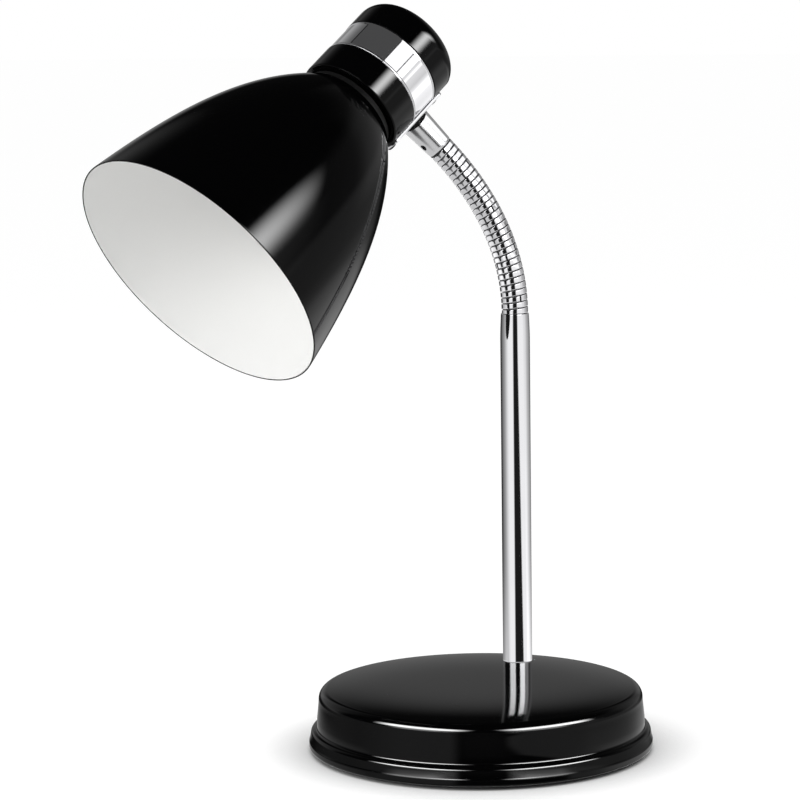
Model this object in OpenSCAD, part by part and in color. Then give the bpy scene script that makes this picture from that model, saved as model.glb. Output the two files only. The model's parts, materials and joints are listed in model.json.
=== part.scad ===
/* [Base] */
// Radius of the base at its flared foot
base_r = 72.2; // [66:0.1:90]
// Height of the flat top of the base above the table
base_h = 26.7; // [24:0.1:34]
// Radius of the upper wall where it meets the top
base_top_r = 68.0; // [64:0.2:72]
// Height of the lower step
step_h = 10.6; // [9:0.2:12]
// Sheet thickness of the base cover
cover_t = 1.2; // [0.8:0.1:1.6]
// Radius of the rounded top edge
shoulder_r = 4.2; // [2:0.2:5]
// Thickness of the foam pad under the base
pad_t = 1.6; // [1.2:0.1:2.4]
// Thickness of the bottom plate
plate_t = 1.0; // [0.8:0.1:1.4]
// Radius of the iron weight
weight_r = 60; // [57:0.5:62]
// Thickness of the iron weight
weight_t = 10; // [8:0.5:12]

/* [Stem] */
// Distance of the stem behind the centre of the base
stem_y = 48.5; // [42:0.1:52]
// Outer radius of the stem tube
stem_r = 6.35; // [6:0.05:8]
// Wall thickness of the stem tube
stem_t = 1.0; // [0.8:0.1:1.2]
// Height of the foot of the gooseneck above the table
neck_z = 178.5; // [150:0.1:260]

/* [Wiring] */
// Radius of the sheathed lead
lead_r = 2.5; // [2:0.1:2.6]
// Outer radius of the hollow threaded nipples
nipple_r = 4.0; // [3.8:0.05:4.3]
// Radius of the bore of the cord bush
inlet_r = 2.8; // [2.2:0.1:3.2]
// Height of the cord inlet above the table
inlet_z = 17; // [16.5:0.1:18]

/* [Gooseneck] */
// Length of the gooseneck from the stem to the ferrule
neck_len = 79.6; // [72:0.1:110]
// Number of coils
coils = 26; // [26:1:26]
// Outer radius of a coil
coil_r = 5.65; // [5.2:0.05:6]
// Clear gap between two coils
coil_gap = 0.63; // [0.6:0.01:0.9]
// Bend of the gooseneck at rest, in degrees
neck_bend = 43.5; // [20:0.1:60]
// How much more the foot of the gooseneck is bent than its top
neck_early = 0.295; // [0:0.005:0.5]
// Direction of the lean, in degrees about the stem
lean_turn = 207.2; // [150:0.1:240]

/* [Head] */
// Length of the ferrule
ferrule_len = 15.65; // [13:0.05:20]
// Radius of the ferrule at the head plate
ferrule_r = 6.6; // [6.4:0.1:7.4]
// Turn of the head about the ferrule, in degrees
head_turn = 27.3; // [0:0.1:60]
// Outer radius of the housing
house_r = 23.75; // [23.5:0.05:27]
// Wall thickness of the housing
house_t = 1.7; // [1.4:0.1:2]
// Thickness of the head plate
head_plate_t = 1.2; // [1:0.1:1.6]
// Width of the head plate
head_plate_w = 15; // [14:0.5:18]
// Length of the collar, from the ferrule axis towards the shade
collar_len = 18.65; // [16:0.05:24]
// Length of the chrome band
band_len = 14.65; // [13:0.05:17]
// Length of the cap behind the band
cap_len = 17.2; // [16.5:0.1:24]
// Radius of the rounded edge of the cap
cap_edge_r = 8; // [3:0.5:9]
// Travel of the push button
button_travel = 2; // [1:0.1:2.5]

/* [Shade] */
// Length of the shade along its axis
shade_len = 100.5; // [90:0.5:130]
// Outer radius of the shade at its mouth
shade_r = 59.3; // [52:0.1:72]
// Outer radius of the shade at its neck
shade_neck_r = 22.6; // [22.4:0.1:27]
// Sheet thickness of the shade
shade_t = 0.8; // [0.6:0.1:1.2]
// Radius of the lamp socket
socket_r = 13.4; // [13:0.1:13.6]

/* [Fits] */
// Clearance round a part that is pushed or screwed in
seat_gap = 0.03; // [0.02:0.01:0.08]
// Running clearance of the swivel and the button
run_gap = 0.06; // [0.05:0.01:0.09]
// Clearance between parts that don't touch
air = 0.3; // [0.2:0.05:0.4]

/* [Hidden] */
$fn = 96;
fine = 144;

// base
cover_bottom = 1.0;
flare_r = base_r - 0.2;
ledge_r = base_top_r + 1.5;
wall_low_r = base_top_r + 0.8;
top_flat_r = base_top_r - 12.4;
top_drop = 0.5;
pad_r = base_r - 3.5;
plate_r = base_r - cover_t - 0.4;
weight_z = base_h - cover_t - weight_t;
weight_rim = 1.2;
screw_ring_r = weight_r - 12;
screw_turns = [30, 150, 270];
screw_head_r = 3.4;
screw_r = 1.95;
screw_head_t = 1.1;
post_r = 5;
nipple_bore = lead_r + 0.25;
insert_len = 14;
stem_bore = stem_r - stem_t;
insert_r = stem_bore - seat_gap;
nut_t = 4.5;
nut_r = nipple_r + 3.6;
washer_t = 1.5;
washer_r = 11;
foot_nipple_z = weight_z - washer_t - nut_t - 0.3;
plug_len = 16;
wall_inner_r = wall_low_r - cover_t;
block_at = [-12, 22];
block = [24, 12, 10];
inlet_wall_r = wall_low_r - 0.42;

// gooseneck
pitch = neck_len / coils;
coil_bore = lead_r + 0.4;
coil_h = pitch - coil_gap;
core_gap = 0.5;

// head, measured along the housing axis from the ferrule axis towards the shade
band_end = 4.8;
band_start = band_end - band_len;
cap_end = band_start - cap_len;
flat_at = house_r - head_plate_t;
spigot_r = house_r - house_t - seat_gap;
spigot_t = 1.5;
spigot_end = band_end + 7.6;
flange_t = 2.1;
contact_t = 2.6;
lip_at = spigot_end + flange_t + 2 * seat_gap;
holder_r = 18;
holder_bore = socket_r + 1.2 + seat_gap;
shoulder_at = collar_len + 0.8;
shade_at = collar_len + 3.5;
shade_end = shade_at + shade_len;
holder_end = shade_at + 22.9;
holder_foot = spigot_end + flange_t + 1.6;
holder_shoulder_r = shade_neck_r - 1.6;
shade_hole_r = holder_r + 0.1;
ring_t = 4;
pad_in = 4.2;
swivel_nut_t = 3.5;
swivel_nipple_top = pad_in + swivel_nut_t + 1.2;
lead_top = 19;
bush_r = 5.4;
bush_t = 2.6;
ferrule_end_r = ferrule_r - 0.85;
set_z = 5;
set_r = 1.4;
set_turn = 26;
notch_deep = 2.2;
notch_rise = 1.9;
plate_screw_r = 1.2;
plate_screw_head_r = 2.2;
plate_front = collar_len + 0.3;
plate_back = band_start - 5.7;
plate_screws_at = [plate_back + 2.7, plate_front - 2.5];

// switch, at the closed end of the cap
switch_r = 8;
switch_neck_r = 6.5;
cap_floor_t = 1.6;
button_r = 4.9;
switch_len = 14;

coil_name = function (i) str("neck_coil_", i < 10 ? "0" : "", i);
BASE_NODES = ["base_pad", "bottom_plate", "base_screws", "base_weight", "base_cover", "cord_bush",
    "terminal_block", "stem_insert", "stem_nipple", "stem_washer", "stem_nut", "stem_tube",
    "neck_plug", "stem_lead"];
HEAD_NODES = ["ferrule", "ferrule_screw", "head_plate", "plate_screws", "swivel_bush",
    "swivel_nipple", "swivel_nut", "head_lead", "collar", "chrome_band", "cap", "lampholder",
    "screw_shell", "centre_contact", "shade_ring", "shade", "switch_body", "switch_nut",
    "switch_spring", "switch_button"];

// ---- helpers

// points of an arc, from angle a to angle b in degrees
function arc(cx, cy, r, a, b, n = 8) =
    [for (i = [0:n]) [cx + r * cos(a + (b - a) * i / n), cy + r * sin(a + (b - a) * i / n)]];

module ring(r, bore, h) {
    difference() {
        cylinder(r = r, h = h);
        translate([0, 0, -1]) cylinder(r = bore, h = h + 2);
    }
}

// angle of the gooseneck from upright after k half coils
function turn_at(k) = let (u = k / 2 / coils) neck_bend * (u + neck_early * u * (1 - u));

// how far it has come across and up after k half coils
function reach(k) = k == 0 ? [0, 0]
    : let (a = turn_at(k - 0.5)) reach(k - 1) + pitch / 2 * [sin(a), cos(a)];

// places its child k half coils along the gooseneck, with +Z along its curve
module on_neck(k) {
    translate([0, stem_y, neck_z]) rotate([0, 0, lean_turn])
        translate([reach(k)[0], 0, reach(k)[1]]) rotate([0, turn_at(k), 0]) children();
}

// the ferrule's frame: origin on the outer face of the head plate, +Z from the neck to the head
module at_plate() {
    on_neck(2 * coils) translate([0, 0, ferrule_len]) children();
}

// the head's frame: as at_plate, turned so that +X runs towards the mouth of the shade
module at_head() {
    at_plate() rotate([0, 0, head_turn]) children();
}

// the housing's axis: +Z runs towards the mouth, and -X towards the ferrule is turned to +X
module on_axis() {
    at_head() translate([0, 0, house_r]) rotate([0, 90, 0]) children();
}

// ---- base

// half section of the outside of the base cover, from the bottom rim to the middle of the top
cover_out = concat(
    [[base_r - 0.9, cover_bottom], [flare_r, cover_bottom + 0.7], [base_r, cover_bottom + 1.8]],
    arc(base_r - 2.5, step_h - 2, 2, 14, 90, 6),
    arc(wall_low_r + 0.8, step_h + 0.8, 0.8, 270, 180, 4),
    arc(base_top_r - shoulder_r, base_h - top_drop - shoulder_r, shoulder_r, 4, 84, 10),
    [for (i = [4:-1:0]) let (u = i / 5)
        [top_flat_r + (base_top_r - shoulder_r - top_flat_r) * u, base_h - top_drop * u * u], [0, base_h]]
);
cover_in = concat(
    [[0, base_h - cover_t], [top_flat_r, base_h - cover_t]],
    arc(base_top_r - shoulder_r, base_h - top_drop - shoulder_r, shoulder_r - cover_t, 84, 4, 6),
    [[wall_low_r - cover_t, step_h + 0.6], [base_r - 2.9, step_h - 1.2],
     [base_r - cover_t - 0.7, step_h - 2.6], [base_r - cover_t, cover_bottom + 1.8],
     [base_r - cover_t, cover_bottom]]
);

module base_cover() {
    color("#141414") difference() {
        rotate_extrude($fn = fine) polygon(concat(cover_out, cover_in));
        translate([0, stem_y, base_h - 4]) cylinder(r = nipple_r + seat_gap, h = 8);
        translate([0, wall_inner_r - 4, inlet_z]) rotate([-90, 0, 0])
            cylinder(r = inlet_r + 0.9 + seat_gap, h = cover_t + 8);
    }
}

module base_weight() {
    color("#4a4a4c") difference() {
        union() {
            translate([0, 0, weight_z]) cylinder(r = weight_r, h = weight_t - weight_rim, $fn = fine);
            translate([0, 0, weight_z]) cylinder(r = top_flat_r - 0.5, h = weight_t, $fn = fine);
            for (a = screw_turns) rotate([0, 0, a]) translate([screw_ring_r, 0, pad_t + plate_t])
                cylinder(r = post_r, h = weight_z - pad_t - plate_t + 1);
        }
        translate([0, stem_y, weight_z - 1]) cylinder(r = nipple_r + seat_gap, h = weight_t + 2);
        for (a = screw_turns) rotate([0, 0, a]) translate([screw_ring_r, 0, 0])
            cylinder(r = screw_r + seat_gap, h = 11);
    }
}

module bottom_plate() {
    color("#2c2c2e") translate([0, 0, pad_t]) difference() {
        cylinder(r = plate_r, h = plate_t, $fn = fine);
        for (a = screw_turns) rotate([0, 0, a]) translate([screw_ring_r, 0, -1])
            cylinder(r = screw_r + 0.25, h = plate_t + 2);
    }
}

module base_pad() {
    color("#202020") difference() {
        cylinder(r = pad_r, h = pad_t, $fn = fine);
        for (a = screw_turns) rotate([0, 0, a]) translate([screw_ring_r, 0, -1])
            cylinder(r = screw_head_r + 0.6, h = pad_t + 2);
    }
}

module base_screws() {
    color("#b8b8bc") for (a = screw_turns) rotate([0, 0, a]) translate([screw_ring_r, 0, 0]) difference() {
        union() {
            translate([0, 0, pad_t - screw_head_t]) cylinder(r = screw_head_r, h = screw_head_t);
            translate([0, 0, pad_t - 0.1]) cylinder(r = screw_r, h = 8.5);
        }
        for (q = [0, 90]) rotate([0, 0, q]) translate([-2, -0.4, 0]) cube([4, 0.8, pad_t - 0.4]);
    }
}

module cord_bush() {
    outer = wall_inner_r - 3.2;
    color("#1c1c1c") translate([0, outer, inlet_z]) rotate([-90, 0, 0]) difference() {
        union() {
            cylinder(r = inlet_r + 0.9, h = inlet_wall_r + 1.4 - outer);
            cylinder(r = inlet_r + 2.2, h = 2);
            translate([0, 0, inlet_wall_r + 0.45 - outer])
                cylinder(r1 = inlet_r + 2.1, r2 = inlet_r + 1.5, h = 1.3);
        }
        translate([0, 0, -1]) cylinder(r = inlet_r, h = inlet_wall_r + 4 - outer);
    }
}

module terminal_block() {
    color("#d8d4c6") translate([block_at[0], block_at[1], pad_t + plate_t]) difference() {
        cube(block);
        for (x = [4:8:20]) translate([x, -1, 5]) rotate([-90, 0, 0]) cylinder(r = 1.6, h = block[1] + 2);
        for (x = [4:8:20]) translate([x, block[1] / 2, 5]) cylinder(r = 1.5, h = 6);
    }
}

// ---- stem

module at_stem(z) {
    translate([0, stem_y, z]) children();
}

module stem_tube() {
    color("#cfd0d4") at_stem(base_h) ring(stem_r, stem_bore, neck_z - coil_gap / 2 - base_h);
}

module stem_insert() {
    color("#8d8f94") at_stem(base_h) ring(insert_r, nipple_r + seat_gap, insert_len);
}

module stem_nipple() {
    top = base_h + insert_len - 1;
    color("#c9a54c") at_stem(foot_nipple_z) ring(nipple_r, nipple_bore, top - foot_nipple_z);
}

module stem_washer() {
    color("#b8b8bc") at_stem(weight_z - washer_t) ring(washer_r, nipple_r + 0.2, washer_t);
}

module stem_nut() {
    color("#c9a54c") at_stem(weight_z - washer_t - nut_t) difference() {
        cylinder(r = nut_r, h = nut_t, $fn = 6);
        translate([0, 0, -1]) cylinder(r = nipple_r + seat_gap, h = nut_t + 2);
    }
}

module neck_plug() {
    color("#8d8f94") at_stem(neck_z - coil_gap / 2 - plug_len) ring(insert_r, nipple_bore, plug_len);
}

// lead from the terminal block up through the stem
module stem_lead() {
    low = pad_t + plate_t + lead_r + 0.1;
    run = stem_y - block_at[1] - block[1] - air;
    color("#101010") at_stem(low) union() {
        cylinder(r = lead_r, h = neck_z - coil_gap / 2 - low);
        sphere(r = lead_r);
        rotate([90, 0, 0]) cylinder(r = lead_r - 0.3, h = run);
    }
}

// ---- gooseneck

// one coil and the stretch of lead inside it
module neck_coil(i) {
    last = i == coils;
    core_h = last ? pitch - core_gap / 2 + 6 : pitch - core_gap;
    h = coil_h / 2;
    on_neck(2 * i - 1) {
        color("#d0d1d5") rotate_extrude() polygon([[coil_bore, -h], [coil_r - 0.65, -h],
            [coil_r - 0.2, -h * 0.72], [coil_r, -h * 0.3], [coil_r, h * 0.3], [coil_r - 0.2, h * 0.72],
            [coil_r - 0.65, h], [coil_bore, h]]);
        color("#101010") translate([0, 0, core_gap / 2 - pitch / 2]) cylinder(r = lead_r, h = core_h);
    }
}

module ferrule() {
    hole_r = (pow(ferrule_r, 2) + pow(notch_rise, 2)) / (2 * notch_rise);
    color("#d4d5d8") difference() {
        on_neck(2 * coils) difference() {
            union() {
                translate([0, 0, -coil_gap]) cylinder(r = ferrule_end_r - 0.3, h = coil_gap + 0.3);
                translate([0, 0, 0.3])
                    cylinder(r1 = ferrule_end_r, r2 = ferrule_r, h = ferrule_len - 0.3 - air);
            }
            translate([0, 0, -1]) cylinder(r = lead_r + air, h = ferrule_len);
            translate([0, 0, 2.5]) cylinder(r = nipple_r + run_gap, h = ferrule_len);
            translate([0, 0, ferrule_len - bush_t - air]) cylinder(r = bush_r + 0.15, h = bush_t + 2);
            // the mouth is hollowed out on two sides, so that the swivel can be seen and oiled
            translate([0, 0, ferrule_len - notch_deep + hole_r]) rotate([90, 0, 0])
                cylinder(r = hole_r, h = 4 * ferrule_r, center = true, $fn = fine);
            translate([0, 0, set_z]) rotate([0, 0, set_turn]) rotate([0, 90, 0])
                cylinder(r = set_r + 0.1, h = 10);
        }
        // the foot lies flat on the last coil
        on_neck(2 * coils - 1) translate([0, 0, coil_h / 2 + seat_gap - 2])
            cylinder(r = 2 * ferrule_r, h = 2);
    }
}

module ferrule_screw() {
    color("#6a6a6e") on_neck(2 * coils) translate([0, 0, set_z]) rotate([0, 0, set_turn])
        translate([nipple_r + run_gap + 0.1, 0, 0]) rotate([0, 90, 0])
            difference() {
                cylinder(r = set_r, h = ferrule_end_r - nipple_r - 0.5);
                translate([0, 0, 0.9]) cylinder(r = 0.7, h = 3, $fn = 6);
            }
}

// ---- head

module head_plate() {
    corner = 3;
    color("#d4d5d8") at_head() difference() {
        union() {
            translate([plate_back, corner - head_plate_w / 2, 0])
                cube([plate_front - plate_back, head_plate_w - 2 * corner, head_plate_t]);
            translate([plate_back + corner, -head_plate_w / 2, 0])
                cube([plate_front - plate_back - 2 * corner, head_plate_w, head_plate_t]);
            for (x = [plate_back + corner, plate_front - corner], y = [-1, 1])
                translate([x, y * (head_plate_w / 2 - corner), 0]) cylinder(r = corner, h = head_plate_t);
        }
        translate([0, 0, -1]) cylinder(r = nipple_r + seat_gap, h = 5);
        for (x = plate_screws_at) translate([x, 0, -1]) cylinder(r = plate_screw_r + 0.1, h = 5);
    }
}

module plate_screws() {
    color("#121212") at_head() for (x = plate_screws_at) translate([x, 0, 0]) {
        translate([0, 0, -1]) cylinder(r1 = plate_screw_head_r - 0.5, r2 = plate_screw_head_r, h = 1);
        translate([0, 0, -0.1]) cylinder(r = plate_screw_r, h = pad_in);
    }
}

module swivel_bush() {
    color("#1a1a1a") at_head() translate([0, 0, -bush_t]) ring(bush_r, nipple_r + seat_gap, bush_t);
}

module swivel_nipple() {
    color("#c9a54c") at_head() translate([0, 0, 3 - ferrule_len])
        ring(nipple_r, nipple_bore, swivel_nipple_top - 3 + ferrule_len);
}

module swivel_nut() {
    color("#c9a54c") at_head() translate([0, 0, pad_in + seat_gap]) difference() {
        cylinder(r = nipple_r + 2.6, h = swivel_nut_t, $fn = 6);
        translate([0, 0, -1]) cylinder(r = nipple_r + seat_gap, h = swivel_nut_t + 2);
    }
}

// lead from the swivel, forked to the lampholder and to the switch
module head_lead() {
    start = 7 - ferrule_len;
    color("#101010") at_head() union() {
        translate([0, 0, start]) cylinder(r = lead_r, h = lead_top - start);
        translate([0, 0, lead_top]) sphere(r = lead_r);
        translate([0, 0, lead_top]) rotate([0, 90, 0]) cylinder(r = lead_r - 0.5, h = spigot_end - air);
        translate([0, 0, lead_top]) rotate([0, -90, 0])
            cylinder(r = lead_r - 0.9, h = -(cap_end + cap_floor_t + switch_len) - air);
    }
}

// the flat that the head plate lies on, and the hole for the nipple, cut from a part of the housing
module plate_seat() {
    difference() {
        children();
        translate([flat_at, -house_r, -60]) cube([10, 2 * house_r, 120]);
        rotate([0, 90, 0]) cylinder(r = nipple_r + 0.2, h = 2 * house_r);
        for (x = plate_screws_at) translate([0, 0, x]) rotate([0, 90, 0])
            translate([0, 0, house_r - pad_in]) cylinder(r = plate_screw_r + seat_gap, h = 10);
    }
}

module collar() {
    color("#141414") on_axis() plate_seat() rotate_extrude($fn = fine) polygon([
        [house_r - house_t, band_end + seat_gap], [house_r - 0.3, band_end + seat_gap],
        [house_r, band_end + 0.4], [house_r, collar_len - 0.9], [house_r - 0.25, collar_len - 0.25],
        [house_r - 0.9, collar_len], [holder_r + 0.7, collar_len], [holder_r + 0.7, lip_at],
        [house_r - house_t, lip_at]]);
}

module chrome_band() {
    edge = 0.25;
    color("#dcdde0") on_axis() plate_seat() rotate_extrude($fn = fine) polygon([
        [house_r - house_t, band_start + seat_gap], [house_r - 0.1, band_start + seat_gap],
        [house_r - 0.1, band_start + 0.8], [house_r - edge, band_start + 1.1],
        [house_r - edge, band_end - 1.1], [house_r - 0.1, band_end - 0.8],
        [house_r - 0.1, band_end], [house_r - house_t, band_end]]);
}

module cap() {
    inner = spigot_r - spigot_t;
    in_r = cap_edge_r - 1;
    color("#141414") on_axis() plate_seat() {
        difference() {
            rotate_extrude($fn = fine) polygon(concat(
                [[spigot_r, spigot_end], [spigot_r, band_start], [house_r, band_start]],
                arc(house_r - cap_edge_r, cap_end + cap_edge_r, cap_edge_r, 0, -90, 10),
                [[0, cap_end], [0, cap_end + cap_floor_t]],
                arc(inner - in_r, cap_end + cap_floor_t + in_r, in_r, -90, 0, 6),
                [[inner, spigot_end]]));
            translate([0, 0, cap_end - 1]) cylinder(r = switch_neck_r + seat_gap, h = cap_floor_t + 2);
        }
        // flat pad inside the spigot, for the nut and the screws
        intersection() {
            translate([house_r - pad_in, -head_plate_w / 2, plate_screws_at[0] - 4])
                cube([pad_in, head_plate_w, spigot_end - plate_screws_at[0] + 4]);
            translate([0, 0, plate_screws_at[0] - 5]) cylinder(r = spigot_r, h = 60, $fn = fine);
        }
    }
}

module lampholder() {
    color("#1a1a1a") on_axis() difference() {
        rotate_extrude($fn = fine) polygon([[0, spigot_end + seat_gap],
            [spigot_r, spigot_end + seat_gap], [spigot_r, spigot_end + flange_t],
            [holder_r, spigot_end + flange_t],
            [holder_r, shoulder_at], [holder_shoulder_r, shoulder_at],
            [holder_shoulder_r, shade_at - seat_gap],
            [holder_r, shade_at - seat_gap], [holder_r, holder_end], [holder_bore, holder_end],
            [holder_bore, holder_foot], [0, holder_foot]]);
        cylinder(r = 1.5 + seat_gap, h = holder_foot + 1);
    }
}

module screw_shell() {
    low = holder_foot + seat_gap;
    color("#c8b06a") on_axis() difference() {
        translate([0, 0, low]) cylinder(r = holder_bore - seat_gap, h = holder_end - 2 - low);
        translate([0, 0, low + contact_t]) cylinder(r = socket_r, h = holder_end - low);
        translate([0, 0, low + 1]) cylinder(r = socket_r - 4, h = contact_t);
        translate([0, 0, low - 1]) cylinder(r = socket_r - 6.9, h = 3);
    }
}

module centre_contact() {
    low = holder_foot + seat_gap;
    color("#c9a54c") on_axis() union() {
        translate([0, 0, spigot_end - 0.1]) cylinder(r = 1.5, h = low - spigot_end + 1);
        translate([0, 0, low]) cylinder(r = 4.5, h = 0.6);
        translate([0, 0, low + 0.5]) cylinder(r1 = 3, r2 = 2, h = contact_t - 0.6);
    }
}

module shade_ring() {
    color("#1a1a1a") on_axis() translate([0, 0, shade_at + shade_t + seat_gap]) difference() {
        cylinder(r = shade_neck_r - 2.6, h = ring_t);
        translate([0, 0, -1]) cylinder(r = holder_r + seat_gap, h = ring_t + 2);
        for (a = [0:30:330]) rotate([0, 0, a]) translate([shade_neck_r - 2.4, 0, 1.5])
            cylinder(r = 0.8, h = ring_t);
    }
}

// radius of the outside of the shade at a share u of its length: a bell that widens less and less
function bell(u) = let (w = 0.306 * u + 0.694 * (1 - exp(-2.71 * u)) / (1 - exp(-2.71)))
    shade_neck_r + (shade_r - shade_neck_r) * w;

module shade() {
    steps = 30;
    // points crowd towards the neck, where the bell curves most
    us = [for (i = [0:steps]) pow(i / steps, 1.6)];
    start = shade_at + shade_t * 0.6;
    run = shade_end - start;
    color("#141414") on_axis() rotate_extrude($fn = fine) polygon(concat(
        [[shade_hole_r, shade_at], [shade_neck_r - 1.5, shade_at], [shade_neck_r - 0.6, shade_at + 0.12]],
        [for (u = us) [bell(u), start + run * u]],
        [for (i = [steps:-1:1]) [bell(us[i]) - shade_t * (us[i] < 0.2 ? 1.25 : 1.08), start + run * us[i]]],
        [[shade_neck_r - 1.1, shade_at + shade_t + 0.1], [shade_neck_r - 1.7, shade_at + shade_t],
         [shade_hole_r, shade_at + shade_t]]));
}

// ---- switch

switch_floor = cap_end + cap_floor_t + seat_gap;
button_in = cap_end + cap_floor_t + 5;
catch_r = button_r + 0.9;
catch_t = 1.2;

module switch_body() {
    color("#1c1c1c") on_axis() difference() {
        union() {
            translate([0, 0, switch_floor]) cylinder(r = switch_r, h = switch_len);
            translate([0, 0, cap_end - 2]) cylinder(r = switch_neck_r, h = switch_floor - cap_end + 2.5);
        }
        translate([0, 0, cap_end - 3]) cylinder(r = button_r + run_gap, h = button_in - cap_end + 2);
        translate([0, 0, button_in - catch_t - run_gap])
            cylinder(r = catch_r + run_gap, h = catch_t + button_travel + 0.4);
        translate([0, 0, button_in]) cylinder(r = 3.4, h = 7.5);
    }
}

module switch_nut() {
    color("#dcdde0") on_axis() translate([0, 0, cap_end - 1.8])
        ring(switch_neck_r + 2.5, switch_neck_r + seat_gap, 1.8 - seat_gap);
}

module switch_button() {
    top = cap_end - 4.4;
    color("#141414") on_axis() union() {
        translate([0, 0, top]) cylinder(r1 = button_r - 0.8, r2 = button_r, h = 0.8);
        translate([0, 0, top + 0.8]) cylinder(r = button_r, h = button_in - top - 0.8);
        translate([0, 0, button_in - catch_t]) cylinder(r = catch_r, h = catch_t);
    }
}

module switch_spring() {
    run = 7.5 - button_travel - 0.3;
    color("#b8b8bc") on_axis() translate([0, 0, button_in + button_travel + 0.15]) for (i = [0:3])
        translate([0, 0, 0.4 + i * (run - 0.8) / 3])
            rotate_extrude() translate([2.6, 0]) circle(r = 0.4, $fn = 16);
}

base_pad();
bottom_plate();
base_screws();
base_weight();
base_cover();
cord_bush();
terminal_block();
stem_insert();
stem_nipple();
stem_washer();
stem_nut();
stem_tube();
neck_plug();
stem_lead();
for (i = [1:coils]) neck_coil(i);
ferrule();
ferrule_screw();
head_plate();
plate_screws();
swivel_bush();
swivel_nipple();
swivel_nut();
head_lead();
collar();
chrome_band();
cap();
lampholder();
screw_shell();
centre_contact();
shade_ring();
shade();
switch_body();
switch_nut();
switch_spring();
switch_button();
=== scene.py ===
import json
import math

import bmesh
import bpy
from mathutils import Matrix, Vector

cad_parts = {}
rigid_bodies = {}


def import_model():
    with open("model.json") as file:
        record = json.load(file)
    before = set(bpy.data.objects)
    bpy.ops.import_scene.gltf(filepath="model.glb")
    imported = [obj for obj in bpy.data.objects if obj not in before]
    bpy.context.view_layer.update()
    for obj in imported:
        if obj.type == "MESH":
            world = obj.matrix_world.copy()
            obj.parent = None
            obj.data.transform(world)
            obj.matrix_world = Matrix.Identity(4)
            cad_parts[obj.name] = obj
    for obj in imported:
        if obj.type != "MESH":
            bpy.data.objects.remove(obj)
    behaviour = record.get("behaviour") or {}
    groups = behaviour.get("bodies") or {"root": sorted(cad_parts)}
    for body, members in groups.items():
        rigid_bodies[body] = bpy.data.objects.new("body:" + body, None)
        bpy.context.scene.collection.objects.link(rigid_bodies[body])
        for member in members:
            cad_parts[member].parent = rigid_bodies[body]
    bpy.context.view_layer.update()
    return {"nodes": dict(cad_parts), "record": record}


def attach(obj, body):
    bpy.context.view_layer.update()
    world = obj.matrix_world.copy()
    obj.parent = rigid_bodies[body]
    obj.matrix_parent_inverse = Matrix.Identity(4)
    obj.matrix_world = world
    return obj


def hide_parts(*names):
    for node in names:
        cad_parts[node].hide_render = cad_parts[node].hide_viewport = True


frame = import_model()
cad = frame["nodes"]
scene = bpy.context.scene
milli = Matrix.Scale(0.001, 4)  # shapes are drawn in millimetres and placed in metres
print("frame loaded:", len(cad), "parts")

# where the lamp's parts sit, in millimetres and degrees, as in the part's source
lamp = {
    "stemY": 48.5,
    "neckFoot": 178.5,
    "neckLength": 79.6,
    "neckBend": 43.5,
    "neckEarly": 0.295,
    "leanTurn": 207.2,
    "coils": 26,
    "ferruleLength": 15.65,
    "headTurn": 27.3,
    "houseRadius": 23.75,
}


def turned(degrees, axis):
    return Matrix.Rotation(math.radians(degrees), 4, axis)


def neckTurn(share):
    return lamp["neckBend"] * (share + lamp["neckEarly"] * share * (1 - share))


def neckCurve(samples=480):
    across, up, points = 0.0, 0.0, []
    step = lamp["neckLength"] / samples
    for i in range(samples + 1):
        points.append((across, up, neckTurn(i / samples)))
        middle = math.radians(neckTurn((i + 0.5) / samples))
        across, up = across + step * math.sin(middle), up + step * math.cos(middle)
    return points


curve = neckCurve()
neckRoot = Matrix.Translation((0, lamp["stemY"], lamp["neckFoot"])) @ turned(lamp["leanTurn"], "Z")


def onNeck(along):
    t = min(max(along / lamp["neckLength"], 0.0), 1.0) * (len(curve) - 1)
    i = min(int(t), len(curve) - 2)
    a, b = curve[i], curve[i + 1]
    x, z, angle = (a[k] + (b[k] - a[k]) * (t - i) for k in range(3))
    spare = along - min(max(along, 0.0), lamp["neckLength"])
    return neckRoot @ Matrix.Translation((x, 0, z)) @ turned(angle, "Y") @ Matrix.Translation((0, 0, spare))


stemPlace = Matrix.Translation((0, lamp["stemY"], 0))
ferrulePlace = onNeck(lamp["neckLength"])
platePlace = ferrulePlace @ Matrix.Translation((0, 0, lamp["ferruleLength"]))
headPlace = platePlace @ turned(lamp["headTurn"], "Z")
axisPlace = headPlace @ Matrix.Translation((0, 0, lamp["houseRadius"])) @ turned(90, "Y")


def addNode(tree, kind, inputs=None, **settings):
    node = tree.nodes.new(kind)
    for key, value in settings.items():
        setattr(node, key, value)
    for key, value in (inputs or {}).items():
        if isinstance(value, bpy.types.NodeSocket):
            tree.links.new(value, node.inputs[key])
        else:
            node.inputs[key].default_value = value
    return node


def newGroup(name, inputs, outputs):
    tree = bpy.data.node_groups.new(name, "ShaderNodeTree")
    for key, value in inputs.items():
        socket = tree.interface.new_socket(key, in_out="INPUT", socket_type="NodeSocketFloat")
        socket.default_value = value
    for key in outputs:
        tree.interface.new_socket(key, in_out="OUTPUT", socket_type="NodeSocketFloat")
    return tree, tree.nodes.new("NodeGroupInput").outputs, tree.nodes.new("NodeGroupOutput").inputs


def calc(tree, operation, a, b=0.0, c=0.0, clamp=False):
    node = addNode(tree, "ShaderNodeMath", operation=operation, use_clamp=clamp)
    for socket, value in zip(node.inputs, (a, b, c)):
        if isinstance(value, bpy.types.NodeSocket):
            tree.links.new(value, socket)
        else:
            socket.default_value = value
    return node.outputs[0]


def noise(tree, vector, scale, detail=2.0, roughness=0.5):
    values = {"Vector": vector, "Scale": scale, "Detail": detail, "Roughness": roughness}
    return addNode(tree, "ShaderNodeTexNoise", values).outputs[0]


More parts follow.
